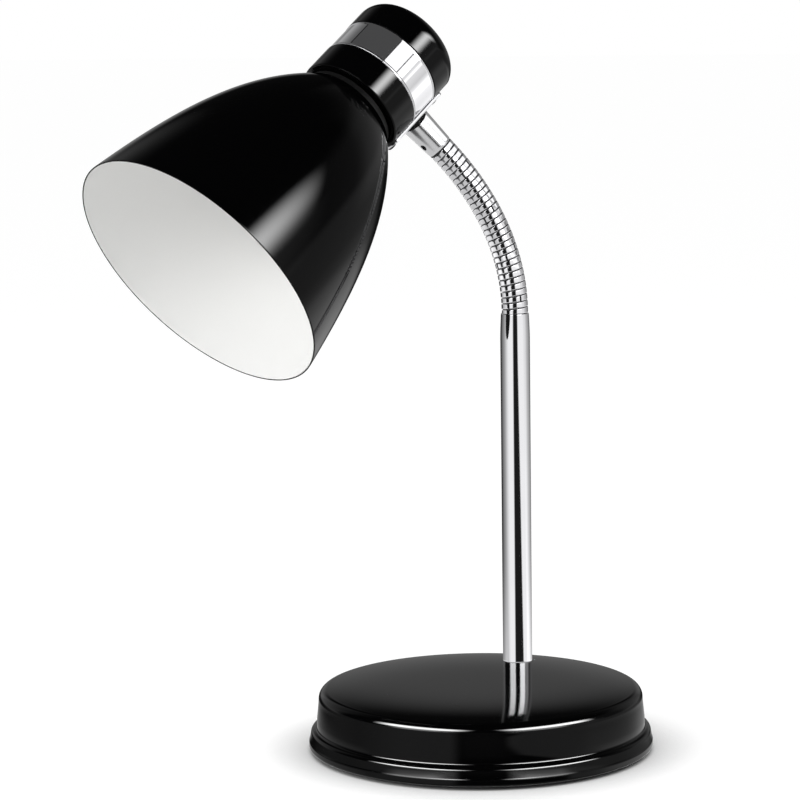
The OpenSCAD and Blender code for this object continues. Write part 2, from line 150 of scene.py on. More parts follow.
def objectPoint(tree):
    return tree.nodes.new("ShaderNodeTexCoord").outputs["Object"]


def paintSkin():
    # sprayed and baked paint: fine orange peel over a slow waviness, with faint handling marks
    tree, given, out = newGroup("paintSkin", {"Peel": 620.0, "Rough": 0.1, "Marks": 0.04}, ["Height", "Rough"])
    point = objectPoint(tree)
    peel = noise(tree, point, given["Peel"], 2.0)
    slow = noise(tree, point, calc(tree, "MULTIPLY", given["Peel"], 0.06), 1.0)
    tree.links.new(calc(tree, "ADD", peel, calc(tree, "MULTIPLY", slow, 3.0)), out["Height"])
    marks = calc(tree, "SUBTRACT", noise(tree, point, 34.0, 5.0, 0.62), 0.5)
    specks = calc(tree, "GREATER_THAN", noise(tree, point, 1900.0, 1.0), 0.78)
    rough = calc(tree, "MULTIPLY_ADD", marks, given["Marks"], given["Rough"])
    tree.links.new(calc(tree, "MULTIPLY_ADD", specks, 0.04, rough, clamp=True), out["Rough"])
    return tree


def platedSkin():
    # plating over drawn or turned metal: fine lines across Z, a few hairlines and a faint haze
    tree, given, out = newGroup(
        "platedSkin", {"Lines": 2400.0, "Stretch": 0.05, "Rough": 0.05, "Haze": 0.03}, ["Height", "Rough", "Tone"]
    )
    point = objectPoint(tree)
    parts = addNode(tree, "ShaderNodeSeparateXYZ", {"Vector": point}).outputs
    across = calc(tree, "MULTIPLY", parts[0], given["Stretch"])
    along = calc(tree, "MULTIPLY", parts[1], given["Stretch"])
    drawn = addNode(tree, "ShaderNodeCombineXYZ", {"X": across, "Y": along, "Z": parts[2]}).outputs[0]
    lines = noise(tree, drawn, given["Lines"], 3.0, 0.6)
    tree.links.new(lines, out["Height"])
    haze = noise(tree, point, 45.0, 4.0, 0.6)
    rough = calc(tree, "MULTIPLY_ADD", calc(tree, "SUBTRACT", haze, 0.42), given["Haze"], given["Rough"])
    rough = calc(tree, "MULTIPLY_ADD", calc(tree, "SUBTRACT", lines, 0.5), given["Haze"], rough, clamp=True)
    tree.links.new(rough, out["Rough"])
    tree.links.new(haze, out["Tone"])
    return tree


def grainSkin():
    # moulded, cast or foamed surfaces: a coarse and a fine grain, with a mask of the low places, which the materials
    # colour darker as painted shade in the pits
    tree, given, out = newGroup("grainSkin", {"Grain": 900.0, "Coarse": 0.3}, ["Height", "Low"])
    point = objectPoint(tree)
    fine = noise(tree, point, given["Grain"], 3.0, 0.6)
    coarse = noise(tree, point, calc(tree, "MULTIPLY", given["Grain"], given["Coarse"]), 3.0)
    tree.links.new(calc(tree, "MULTIPLY_ADD", coarse, 1.4, fine), out["Height"])
    tree.links.new(calc(tree, "SUBTRACT", 1.0, coarse), out["Low"])
    return tree


groups = {"paint": paintSkin(), "plated": platedSkin(), "grain": grainSkin()}


def blankMaterial(name):
    material = bpy.data.materials.new(name)
    material.use_nodes = True
    material.node_tree.nodes.clear()
    return material, material.node_tree


def toSurface(tree, shader, output="ShaderNodeOutputMaterial"):
    tree.links.new(shader.outputs[0], addNode(tree, output).inputs["Surface"])


def newMaterial(name):
    material, tree = blankMaterial(name)
    shader = addNode(tree, "ShaderNodeBsdfPrincipled")
    toSurface(tree, shader)
    return material, tree, shader


def useGroup(tree, kind, values):
    node = addNode(tree, "ShaderNodeGroup", node_tree=groups[kind])
    for key, value in values.items():
        node.inputs[key].default_value = value
    return node.outputs


def bumped(tree, shader, height, strength, distance):
    bump = addNode(tree, "ShaderNodeBump", {"Strength": strength, "Distance": distance, "Height": height})
    tree.links.new(bump.outputs[0], shader.inputs["Normal"])


def mixColors(tree, factor, a, b):
    ramp = addNode(tree, "ShaderNodeMix", {"Factor": factor}, data_type="RGBA")
    ramp.inputs[6].default_value, ramp.inputs[7].default_value = (*a, 1), (*b, 1)
    return ramp.outputs[2]


def enamel(name, color, tint, rough, marks, peel, bump, specular=0.5):
    material, tree, shader = newMaterial(name)
    skin = useGroup(tree, "paint", {"Peel": peel, "Rough": rough, "Marks": marks})
    tree.links.new(skin["Rough"], shader.inputs["Roughness"])
    tree.links.new(mixColors(tree, skin["Height"], color, tint), shader.inputs["Base Color"])
    shader.inputs["Specular IOR Level"].default_value = specular
    bumped(tree, shader, skin["Height"], bump, 0.00002)
    return material


def plated(name, color, tint, rough, haze, lines, stretch, bump):
    material, tree, shader = newMaterial(name)
    skin = useGroup(tree, "plated", {"Lines": lines, "Stretch": stretch, "Rough": rough, "Haze": haze})
    tree.links.new(skin["Rough"], shader.inputs["Roughness"])
    tree.links.new(mixColors(tree, skin["Tone"], color, tint), shader.inputs["Base Color"])
    shader.inputs["Metallic"].default_value = 1.0
    bumped(tree, shader, skin["Height"], bump, 0.00001)
    return material


def moulded(name, color, low, rough, grain, coarse, bump, metallic=0.0, specular=0.5):
    material, tree, shader = newMaterial(name)
    skin = useGroup(tree, "grain", {"Grain": grain, "Coarse": coarse})
    # the second colour goes into the grain's low places: painted shade in its pits
    tree.links.new(mixColors(tree, skin["Low"], color, low), shader.inputs["Base Color"])
    shader.inputs["Roughness"].default_value = rough
    shader.inputs["Metallic"].default_value = metallic
    shader.inputs["Specular IOR Level"].default_value = specular
    bumped(tree, shader, skin["Height"], bump, 0.00006)
    return material


finishes = {
    "black_enamel": enamel(
        "blackEnamel", (0.0004, 0.0004, 0.0005), (0.0008, 0.0008, 0.0009),
        rough=0.06, marks=0.03, peel=620, bump=0.02, specular=0.12,
    ),
    "white_enamel": enamel(
        "whiteEnamel", (0.8, 0.8, 0.79), (0.84, 0.84, 0.83), rough=0.34, marks=0.06, peel=520, bump=0.06,
    ),
    "chrome": plated(
        "chromePlate", (0.86, 0.86, 0.875), (0.8, 0.8, 0.82),
        rough=0.045, haze=0.03, lines=2400, stretch=0.05, bump=0.04,
    ),
    "zinc_steel": plated(
        "zincPlate", (0.62, 0.62, 0.62), (0.5, 0.5, 0.52),
        rough=0.3, haze=0.1, lines=1500, stretch=0.3, bump=0.15,
    ),
    "dark_steel": plated(
        "blackedSteel", (0.035, 0.035, 0.038), (0.02, 0.02, 0.022),
        rough=0.32, haze=0.12, lines=1200, stretch=0.4, bump=0.2,
    ),
    "iron": moulded(
        "castIron", (0.1, 0.1, 0.105), (0.05, 0.048, 0.047),
        rough=0.6, grain=700, coarse=0.25, bump=0.8, metallic=0.7,
    ),
    "brass": plated(
        "brightBrass", (0.8, 0.6, 0.27), (0.66, 0.47, 0.18),
        rough=0.22, haze=0.1, lines=1800, stretch=0.1, bump=0.1,
    ),
    "black_plastic": moulded(
        "blackPlastic", (0.01, 0.01, 0.01), (0.007, 0.007, 0.007),
        rough=0.42, grain=1600, coarse=0.3, bump=0.2, specular=0.2,
    ),
    "gloss_plastic": enamel(
        "glossPlastic", (0.012, 0.012, 0.012), (0.016, 0.016, 0.016), rough=0.12, marks=0.05, peel=900, bump=0.05,
    ),
    "ivory_plastic": moulded(
        "ivoryPlastic", (0.72, 0.69, 0.6), (0.62, 0.59, 0.5), rough=0.4, grain=1500, coarse=0.3, bump=0.2,
    ),
    "lead_sheath": moulded(
        "leadSheath", (0.02, 0.02, 0.02), (0.012, 0.012, 0.012), rough=0.55, grain=1300, coarse=0.3, bump=0.3,
    ),
    "foam": moulded(
        "foamPad", (0.03, 0.03, 0.03), (0.012, 0.012, 0.012), rough=0.85, grain=1100, coarse=0.4, bump=1.0,
    ),
}
for part in frame["record"]["subparts"]:
    shown = cad[part["node"]]
    shown.data.materials.clear()
    shown.data.materials.append(finishes[part["material_slot"]])
print("finishes:", len(finishes))


def arc(cx, cy, radius, start, end, count=8):
    steps = [math.radians(start + (end - start) * i / count) for i in range(count + 1)]
    return [(cx + radius * math.cos(a), cy + radius * math.sin(a)) for a in steps]


def held(profile, closed=True):
    # a point close to the ends of long runs, so that they stay evenly shaded beside a rounded edge
    count = len(profile)
    points = []
    for i, (a, b) in enumerate(zip(profile, profile[1:] + profile[:1])):
        points.append(a)
        if i == count - 1 and not closed:
            break
        before, after = profile[i - 1], profile[(i + 2) % count]
        run = math.dist(a, b)
        ease = min(0.25, run * 0.12)
        if run > 0.5 and math.dist(before, a) < run * 0.3:
            points.append([p + (q - p) * ease / run for p, q in zip(a, b)])
        if run > 0.5 and math.dist(b, after) < run * 0.3:
            points.append([q + (p - q) * ease / run for p, q in zip(a, b)])
    return points


def spun(profile, steps=160, closed=True):
    profile = held(profile, closed)
    bm = bmesh.new()
    verts = [bm.verts.new((r, 0, z)) for r, z in profile]
    edges = [bm.edges.new(pair) for pair in zip(verts, verts[1:])]
    if closed:
        edges.append(bm.edges.new((verts[-1], verts[0])))
    bmesh.ops.spin(
        bm, geom=verts + edges, cent=(0, 0, 0), axis=(0, 0, 1), dvec=(0, 0, 0),
        angle=2 * math.pi, steps=steps, use_merge=True,
    )
    bmesh.ops.remove_doubles(bm, verts=bm.verts[:], dist=0.0005)
    bmesh.ops.recalc_face_normals(bm, faces=bm.faces[:])
    return bm


def asObject(name, bm):
    mesh = bpy.data.meshes.new(name)
    bm.to_mesh(mesh)
    bm.free()
    made = bpy.data.objects.new(name, mesh)
    scene.collection.objects.link(made)
    return made


def addPiece(name, bm, place, body, stands, slotName, finish=None, sharp=32):
    # stands lists the parts that the piece is seen in place of
    bm.transform(milli @ place)
    piece = asObject(name, bm)
    piece.data.shade_smooth()
    piece.data.set_sharp_from_angle(angle=math.radians(sharp))
    piece.data.materials.append(finish or finishes[slotName])
    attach(piece, body)
    if stands:
        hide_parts(*stands)
    return piece


def carve(piece, bm, place):
    # cuts a closed shape out of a finished piece
    bm.transform(milli @ place)
    cutter = asObject("cutter", bm)
    cut = piece.modifiers.new("cut", "BOOLEAN")
    cut.object, cut.operation, cut.solver = cutter, "DIFFERENCE", "EXACT"
    bpy.context.view_layer.update()
    made = bpy.data.meshes.new_from_object(piece.evaluated_get(bpy.context.evaluated_depsgraph_get()))
    piece.modifiers.clear()
    piece.data = made
    bpy.data.objects.remove(cutter)
    made.set_sharp_from_angle(angle=math.radians(32))


def rod(radius, height, segments=48, top=None):
    bm = bmesh.new()
    bmesh.ops.create_cone(
        bm, cap_ends=True, segments=segments, radius1=radius,
        radius2=radius if top is None else top, depth=height,
        matrix=Matrix.Translation((0, 0, height / 2)),
    )
    return bm


# base cover, drawn in millimetres as every piece is
base = {
    "footRadius": 72.2,
    "stepRadius": 71.7,
    "wallLow": 68.8,
    "wallTop": 68.0,
    "shoulder": 4.0,
    "height": 26.7,
    "crown": 1.3,
    "stepHeight": 8.65,
    "sheet": 1.2,
    "inlet": 3.75,
    "inletHeight": 17,
}
rimR, rimZ = base["wallTop"] - base["shoulder"], base["height"] - base["crown"] - base["shoulder"]
outside = (
    [(base["footRadius"] - 1.3, 1.0)]
    + arc(base["footRadius"] - 0.7, 1.8, 0.7, -80, 0, 5)
    + [(base["footRadius"], 3.6), (base["footRadius"] - 0.06, 3.95), (base["footRadius"] - 0.16, 4.15)]
    + [(base["stepRadius"] - 0.1, 6.0)]
    + arc(base["stepRadius"] - 1.9, base["stepHeight"] - 1.6, 1.6, 13, 80, 10)
    + arc(base["wallLow"] + 1.1, base["stepHeight"] + 1.2, 1.1, 262, 184, 8)
    + [(base["wallLow"] - 0.02, 13.0), (base["wallTop"] + 0.1, 19.5)]
    + arc(rimR, rimZ, base["shoulder"], 3, 84, 16)
    + [(rimR * (1 - i / 24), base["height"] - base["crown"] * (1 - i / 24) ** 5) for i in range(25)]
)
inside = [
    (0, base["height"] - 2.0), (rimR, base["height"] - 2.0), (rimR + 1.6, rimZ),
    (base["wallLow"] - base["sheet"] - 0.4, 11.0), (base["stepRadius"] - 4.0, 7.4),
    (base["footRadius"] - 2.2, 6.5), (base["footRadius"] - 2.2, 1.0),
]
cover = addPiece(
    "coverShell", spun(outside + inside, 240, closed=True), Matrix(), "base", ["base_cover"], "black_enamel"
)
carve(cover, rod(base["inlet"], 12), Matrix.Translation((0, 62, base["inletHeight"])) @ turned(-90, "X"))

# stem tube, with its top drawn in round the gooseneck
stem = {
    "radius": 6.35, "bore": 5.35, "foot": 26.3, "edge": 0.35,
    "top": 178.18, "swage": 11.0, "mouth": 5.97, "throat": 5.72,
}
swageFrom = stem["top"] - stem["swage"]
swage = [
    (stem["radius"] - (stem["radius"] - stem["mouth"]) * (i / 8) ** 1.6, swageFrom + (stem["swage"] - 0.5) * i / 8)
    for i in range(9)
]
tubeProfile = (
    arc(stem["radius"] - stem["edge"], stem["foot"] + stem["edge"], stem["edge"], -90, 0, 4)
    + [(stem["radius"], stem["foot"] + 20), (stem["radius"], stem["foot"] + 80)]
    + swage
    + arc(stem["mouth"] - 0.3, stem["top"] - 0.3, 0.3, 0, 120, 4)
    + [(stem["throat"], stem["top"] - 0.6), (stem["throat"], stem["top"] - 4)]
    + [(stem["bore"], stem["top"] - 5), (stem["bore"], stem["foot"])]
)
addPiece("stemTubeShell", spun(tubeProfile, 128), stemPlace, "base", ["stem_tube"], "chrome")
for name in frame["record"]["behaviour"]["bodies"]["base"]:
    cad[name].visible_glossy = False
cover.visible_glossy = False  # keeps the tube's stripes clean down to its foot
print("base and stem")

# gooseneck: a flat band wound into a hose, in one length for each link, round a dark core; the core stands for the lead
# inside, and its black just under the band's edges paints the shade in the grooves between the turns
hose = {
    "turns": 30, "crest": 5.66, "edge": 5.2, "root": 4.4, "width": 2.3, "segments": 30,
    "core": 5.15, "bandGap": 0.03, "coreGap": 0.33,
}
lead = lamp["neckLength"] / hose["turns"]
pitch = lamp["neckLength"] / lamp["coils"]


def bend(bm):
    # lays a straight shape drawn along Z from the foot of the gooseneck onto its curve
    for v in bm.verts:
        x, y, z = v.co
        v.co = onNeck(z) @ Vector((x, y, 0))


def hoseBand(start, end):
    half = hose["width"] / 2
    crest, edge = hose["crest"], hose["edge"]
    section = [
        (hose["root"], -half), (edge, -half), (crest - 0.12, 0.05 - half), (crest - 0.03, 0.14 - half),
        (crest - 0.004, 0.3 - half), (crest, 0), (crest - 0.006, half - 0.32), (crest - 0.035, half - 0.16),
        (crest - 0.13, half - 0.05), (edge, half), (hose["root"], half),
    ]
    section = held(section)
    turns = (end - start) / lead
    steps = max(4, round(turns * hose["segments"]))
    bm = bmesh.new()
    verts = [bm.verts.new((r, 0, z)) for r, z in section]
    edges = [bm.edges.new((verts[i], verts[(i + 1) % len(verts)])) for i in range(len(verts))]
    bmesh.ops.spin(
        bm, geom=verts + edges, cent=(0, 0, 0), axis=(0, 0, 1), dvec=(0, 0, (end - start) / steps),
        angle=2 * math.pi * turns, steps=steps, use_merge=False,
    )
    bmesh.ops.holes_fill(bm, edges=[e for e in bm.edges if e.is_boundary], sides=0)
    bmesh.ops.recalc_face_normals(bm, faces=bm.faces[:])
    bm.transform(Matrix.Translation((0, 0, start)) @ turned(360 * start / lead, "Z"))
    bend(bm)
    return bm


for i in range(1, lamp["coils"] + 1):
    start, end = (i - 1) * pitch, i * pitch
    body, node = f"neck_{i:02d}", f"neck_coil_{i:02d}"
    bm = hoseBand(start + hose["bandGap"], end - hose["bandGap"])
    addPiece(f"hoseBand_{i:02d}", bm, Matrix(), body, [node], "chrome", sharp=45)
    # the dark core, nearly as wide as the band's edges, is painted shade in the grooves between the turns
    bm = rod(hose["core"], end - start - 2 * hose["coreGap"], 32)
    bm.transform(Matrix.Translation((0, 0, start + hose["coreGap"])))
    bend(bm)
    addPiece(f"hoseCore_{i:02d}", bm, Matrix(), body, [], "lead_sheath")
print("gooseneck:", lamp["coils"], "links")

# ferrule: a cone with a hollowed mouth, a hole for its set screw and a seam
ferrule = {
    "foot": 5.75, "top": 6.6, "length": 15.3, "notch": 2.2, "rise": 1.9, "bore": 4.1, "mouth": 5.6,
    "screwHole": 1.5, "screwHeight": 5.0, "screwTurn": 26, "seamTurn": 93, "seamLean": 3.2,
}
slope = (ferrule["top"] - ferrule["foot"]) / ferrule["length"]
ferruleProfile = (
    [(4.9, -0.2), (ferrule["foot"] - 0.35, -0.25), (ferrule["foot"], 0.35)]
    + [(ferrule["foot"] + slope * z, z) for z in (1.0, 4.0, 8.0, 12.0)]
    + [(ferrule["top"] - 0.02, ferrule["length"] - 0.25), (ferrule["top"] - 0.25, ferrule["length"])]
    + [(ferrule["mouth"], ferrule["length"]), (ferrule["mouth"], ferrule["length"] - 2.9)]
    + [(ferrule["bore"], ferrule["length"] - 2.9), (ferrule["bore"], 2.5), (2.8, 2.5), (2.8, 1.2), (4.9, 1.2)]
)
satin = plated(
    "satinPlate", (0.86, 0.86, 0.87), (0.8, 0.8, 0.815), rough=0.17, haze=0.06, lines=1800, stretch=0.2, bump=0.08,
)
sleeve = addPiece("ferruleSleeve", spun(ferruleProfile, 96), ferrulePlace, "neck_26", ["ferrule"], "chrome", satin)
notchR = (ferrule["top"] ** 2 + ferrule["rise"] ** 2) / (2 * ferrule["rise"])
carve(
    sleeve, rod(notchR, 30, 128),
    ferrulePlace @ Matrix.Translation((0, 15, lamp["ferruleLength"] - ferrule["notch"] + notchR)) @ turned(90, "X"),
)
carve(
    sleeve, rod(ferrule["screwHole"], 8, 32),
    ferrulePlace @ Matrix.Translation((0, 0, ferrule["screwHeight"]))
    @ turned(ferrule["screwTurn"], "Z") @ turned(90, "Y"),
)
seam = bmesh.new()
bmesh.ops.create_cube(
    seam, size=1, matrix=Matrix.Translation((5.95, 0, 7.5)) @ Matrix.Diagonal((1.0, 0.34, 16.4, 1))
)
carve(sleeve, seam, ferrulePlace @ turned(ferrule["seamTurn"], "Z") @ turned(ferrule["seamLean"], "Y"))

plate = {
    "back": -15.55, "front": 18.95, "width": 15.0, "thick": 1.2, "corner": 3.0, "rim": 0.22,
    "screws": (-12.85, 16.45), "crossTurns": (20, 110),
}
bm = bmesh.new()
bmesh.ops.create_cube(
    bm, size=1,
    matrix=Matrix.Translation(((plate["back"] + plate["front"]) / 2, 0, plate["thick"] / 2))
    @ Matrix.Diagonal((plate["front"] - plate["back"], plate["width"], plate["thick"], 1)),
)
upright = [e for e in bm.edges if abs(e.verts[0].co.z - e.verts[1].co.z) > 0.5]
bmesh.ops.bevel(bm, geom=upright, offset=plate["corner"], affect="EDGES", segments=8, profile=0.5, material=-1)
rims = [e for e in bm.edges if len(e.link_faces) == 2 and e.calc_face_angle(0) > 1.0]
bmesh.ops.bevel(bm, geom=rims, offset=plate["rim"], affect="EDGES", segments=3, profile=0.5, material=-1)
addPiece("headPlateShell", bm, headPlace, "head", ["head_plate"], "chrome")

for number, at in enumerate(plate["screws"]):
    head = [(0, -1.0), (1.1, -1.0), (1.75, -0.8), (2.15, -0.35), (2.2, 0.0), (1.15, 0.0), (1.15, 3.5), (0, 3.5)]
    bm = spun(head, 40, closed=False)
    screw = addPiece(
        f"plateScrew_{number + 1}", bm, headPlace @ Matrix.Translation((at, 0, 0)), "head",
        ["plate_screws"] if number == 0 else [], "dark_steel",
    )
    for turn in plate["crossTurns"]:
        slotCut = bmesh.new()
        bmesh.ops.create_cube(slotCut, size=1, matrix=Matrix.Diagonal((2.6, 0.5, 1.2, 1)))
        carve(screw, slotCut, headPlace @ Matrix.Translation((at, 0, -1.0)) @ turned(turn, "Z"))
print("ferrule and plate")

# housing: collar, chrome band and cap on one axis
house = {
    "radius": 23.75, "wall": 1.7, "flat": 22.5, "seat": 0.03,
    "collarEnd": 18.65, "collarEdge": 0.7, "collarMouth": 18.8,
    "bandStart": -9.85, "bandEnd": 4.8, "bandInset": 0.27,
    "capEnd": -27.05, "capEdge": 8.0, "spigotEnd": 12.4, "switchHole": 6.6,
}


def flatten(bm):
    # presses the side under the head plate down to its flat
    for v in bm.verts:
        if v.co.x > house["flat"]:
            v.co.x = house["flat"]


houseR, bandStart, bandEnd, capEnd = (house[k] for k in ("radius", "bandStart", "bandEnd", "capEnd"))
wallR, bandR = houseR - house["wall"], houseR - house["bandInset"]
collarProfile = (
    [(wallR, bandEnd + house["seat"])]
    + arc(houseR - 0.35, bandEnd + 0.38, 0.35, -90, 0, 4)
    + arc(houseR - house["collarEdge"], house["collarEnd"] - house["collarEdge"], house["collarEdge"], 0, 90, 6)
    + [(house["collarMouth"], house["collarEnd"]), (house["collarMouth"], bandEnd + 10), (wallR, bandEnd + 10)]
)
bm = spun(collarProfile, 240)
flatten(bm)
addPiece("collarShell", bm, axisPlace, "head", ["collar"], "black_enamel")

bandProfile = (
    [(wallR, bandStart + house["seat"]), (houseR - 0.3, bandStart + house["seat"])]
    + arc(houseR - 0.42, bandStart + 0.45, 0.38, -70, 40, 5)
    + [(bandR, bandStart + 1.0), (bandR, bandEnd - 1.0)]
    + arc(houseR - 0.42, bandEnd - 0.45, 0.38, -40, 70, 5)
    + [(houseR - 0.3, bandEnd), (wallR, bandEnd)]
)
bm = spun(bandProfile, 240)
flatten(bm)
addPiece("chromeBandShell", bm, axisPlace, "head", ["chrome_band"], "chrome")

capProfile = (
    [(21.95, house["spigotEnd"]), (21.95, bandStart)]
    + arc(houseR - 0.35, bandStart - 0.35, 0.35, 90, 0, 4)
    + arc(houseR - house["capEdge"], capEnd + house["capEdge"], house["capEdge"], 0, -90, 14)
    + [(9.2, capEnd), (house["switchHole"], capEnd), (house["switchHole"], capEnd + 1.6)]
    + [(15, capEnd + 1.6), (20.45, capEnd + 7.5), (20.45, house["spigotEnd"])]
)
bm = spun(capProfile, 240)
flatten(bm)
addPiece("capShell", bm, axisPlace, "head", ["cap"], "black_enamel")
print("housing")

# shade: a bell of thin sheet, with its white lining as a second skin
shade = {
    "neck": 22.6, "mouth": 59.3, "start": 22.15, "end": 122.65, "hole": 18.1, "early": 0.694, "fall": 2.71,
}


def bell(u):
    w = (1 - math.exp(-shade["fall"] * u)) / (1 - math.exp(-shade["fall"]))
    return shade["neck"] + (shade["mouth"] - shade["neck"]) * ((1 - shade["early"]) * u + shade["early"] * w)


def bellLine(inset, last, count=72):
    # points down the bell, set in from its outside square to the wall
    line = []
    run = shade["end"] - shade["start"] - 0.5
    for i in range(count + 1):
        u = (i / count) ** 1.4 * last
        slope = (bell(u + 0.001) - bell(u)) / (0.001 * run)
        square = math.hypot(1, slope)
        line.append((bell(u) - inset / square, shade["start"] + 0.5 + run * u + inset * slope / square))
    return line


skin = bellLine(0.0, 0.9955)
middle = bellLine(0.42, 0.9955)
lining = bellLine(0.8, 0.9955)
tip, tipIn = skin[-1], lining[-1]
rim = [
    (tip[0] + 0.02, tip[1] + 0.2), (tip[0] - 0.1, tip[1] + 0.38), (tip[0] - 0.3, tip[1] + 0.45),
    (tip[0] - 0.5, tip[1] + 0.38), (middle[-1][0], tip[1] + 0.15),
]
neckEdge = [(21.1, shade["start"]), (21.9, shade["start"] + 0.12), (22.35, shade["start"] + 0.3)]
neckIn = [
    (middle[0][0] - 1.3, shade["start"] + 0.45), (shade["hole"], shade["start"] + 0.4), (shade["hole"], shade["start"]),
]
bm = spun(neckEdge + skin + rim + middle[::-1] + neckIn, 256)
addPiece("shadeShell", bm, axisPlace, "head", ["shade"], "black_enamel", sharp=40)
liningBed = bellLine(0.45, 0.9955)
liningNeck = [(lining[0][0] - 1.2, shade["start"] + 0.85), (shade["hole"], shade["start"] + 0.8)]
liningBack = [(shade["hole"], shade["start"] + 0.45), (liningBed[0][0] - 1.4, shade["start"] + 0.5)]
liningTip = [(tipIn[0] + 0.1, tipIn[1] + 0.12), (liningBed[-1][0] - 0.05, liningBed[-1][1] + 0.1)]
bm = spun(lining + liningTip + liningBed[::-1] + liningBack[::-1] + liningNeck[::-1], 256)
addPiece("shadeLining", bm, axisPlace, "head", [], "white_enamel", sharp=40)
print("shade")

# camera, and the point that the soft boxes face
studio = {
    "azimuth": 21.25,
    "pitch": 7.466,
    "roll": -0.7575,
    "position": (0.40566, -1.13183, 0.30459),
    "lens": 2922.7 / 800 * 36,  # focal length in pixels, for a frame of 800 pixels on a 36 mm sensor
    "aim": (-0.02, 0.02, 0.17),
}
around, pitch, roll = (math.radians(studio[k]) for k in ("azimuth", "pitch", "roll"))
back = Vector((math.sin(around) * math.cos(pitch), -math.cos(around) * math.cos(pitch), math.sin(pitch)))
right = Vector((math.cos(around), math.sin(around), 0))
up = back.cross(right)
right, up = right * math.cos(roll) + up * math.sin(roll), up * math.cos(roll) - right * math.sin(roll)
cameraData = bpy.data.cameras.new("camera")
cameraData.sensor_width, cameraData.lens = 36, studio["lens"]
cameraData.clip_start, cameraData.clip_end = 0.05, 50
camera = bpy.data.objects.new("camera", cameraData)
camera.matrix_world = Matrix.Translation(studio["position"]) @ Matrix((right, up, back)).transposed().to_4x4()
scene.collection.objects.link(camera)
scene.camera = camera


def studioCard(name, bm, place, onto):
    # a card with pieces to shine onto is seen mirrored in those alone; the others give the soft light
    card = asObject(name, bm)
    card.matrix_world = place
    material, tree = blankMaterial(name)
    glow = addNode(tree, "ShaderNodeEmission")
    clear = addNode(tree, "ShaderNodeBsdfTransparent")
    toSurface(tree, addNode(tree, "ShaderNodeAddShader", {0: glow.outputs[0], 1: clear.outputs[0]}))
    card.data.materials.append(material)
    card.visible_camera = False
    card.visible_shadow = False
    card.visible_glossy = bool(onto)
    card.visible_diffuse = not onto
    if onto:
        material.cycles.emission_sampling = "NONE"
        card.light_linking.receiver_collection = bpy.data.collections.new(name)
        for piece in onto:
            card.light_linking.receiver_collection.objects.link(piece)
    return tree, glow


def softStep(tree, value, low, high, start=0.0, end=1.0):
    values = {"Value": value, "From Min": low, "From Max": high, "To Min": start, "To Max": end}
    return addNode(tree, "ShaderNodeMapRange", values, interpolation_type="SMOOTHSTEP").outputs[0]


def softBox(name, azimuth, elevation, distance, width, height, radiance, feather, onto=()):
    # azimuth is counted to the right of the camera, as seen from the lamp; metres and degrees
    turn = math.radians(studio["azimuth"] + azimuth)
    rise = math.radians(elevation)
    toward = Vector((math.sin(turn) * math.cos(rise), -math.cos(turn) * math.cos(rise), math.sin(rise)))
    bm = bmesh.new()
    bmesh.ops.create_grid(bm, x_segments=1, y_segments=1, size=0.5, matrix=Matrix.Diagonal((width, height, 1, 1)))
    place = Matrix.Translation(Vector(studio["aim"]) + toward * distance)
    tree, glow = studioCard(name, bm, place @ toward.to_track_quat("Z", "Y").to_matrix().to_4x4(), onto)
    parts = addNode(tree, "ShaderNodeSeparateXYZ", {"Vector": objectPoint(tree)}).outputs
    edges = []
    for part, half in ((parts[0], width / 2), (parts[1], height / 2)):
        gap = calc(tree, "SUBTRACT", half, calc(tree, "ABSOLUTE", part))
        edges.append(softStep(tree, gap, 0.0, feather * half))
    strength = calc(tree, "MULTIPLY", calc(tree, "MULTIPLY", edges[0], edges[1]), radiance)
    tree.links.new(strength, glow.inputs["Strength"])


def axisCard(name, start, end, radiance):
    # a strip along the housing's axis, mirrored in the chrome band alone
    reach, half = 3, 4
    angle = math.radians(start)
    bm = bmesh.new()
    verts = [bm.verts.new((reach * math.cos(angle), reach * math.sin(angle), z)) for z in (-half, half)]
    edge = bm.edges.new(verts)
    bmesh.ops.spin(
        bm, geom=verts + [edge], cent=(0, 0, 0), axis=(0, 0, 1), dvec=(0, 0, 0),
        angle=math.radians(end - start), steps=24, use_merge=False,
    )
    place = Matrix.Translation((milli @ axisPlace).translation) @ axisPlace.to_3x3().to_4x4()
    glow = studioCard(name, bm, place, [bpy.data.objects["chromeBandShell"]])[1]
    glow.inputs["Strength"].default_value = radiance


hoseBands = [bpy.data.objects[f"hoseBand_{i:02d}"] for i in range(1, lamp["coils"] + 1)]
bright = [bpy.data.objects[name] for name in ("ferruleSleeve", "headPlateShell")] + hoseBands
head = [bpy.data.objects[name] for name in ("shadeShell", "collarShell", "capShell")]
# azimuth, elevation, distance, width, height, radiance, feather and the pieces that mirror the box
softBoxes = {
    "baseRight": (50, 30, 3.0, 4.4, 1.5, 110.0, 0.6, [cover]),
    "baseLeft": (-47, 30, 3.0, 4.4, 1.5, 110.0, 0.6, [cover]),
    "skirtRight": (42, 13, 3.0, 2.6, 1.0, 15.0, 0.6, [cover]),
    "skirtLeft": (-46, 13, 3.0, 2.8, 1.0, 15.0, 0.6, [cover]),
    "baseFront": (0, -4, 3.0, 3.4, 1.4, 0.2, 0.8, [cover]),
    "chromeRight": (66, 40, 3.0, 6.4, 2.2, 1.2, 0.4, bright),
    "hoseLeft": (-100, 4, 3.0, 3.6, 5.0, 0.3, 0.3, hoseBands),
    "headRight": (60, 31, 3.0, 3.6, 1.3, 55.0, 1.0, head),
    "rightKey": (60, 38, 1.3, 0.9, 0.6, 3.5, 0.3),
    "leftKey": (-55, 16, 1.3, 1.1, 0.6, 6.3, 0.3),
}
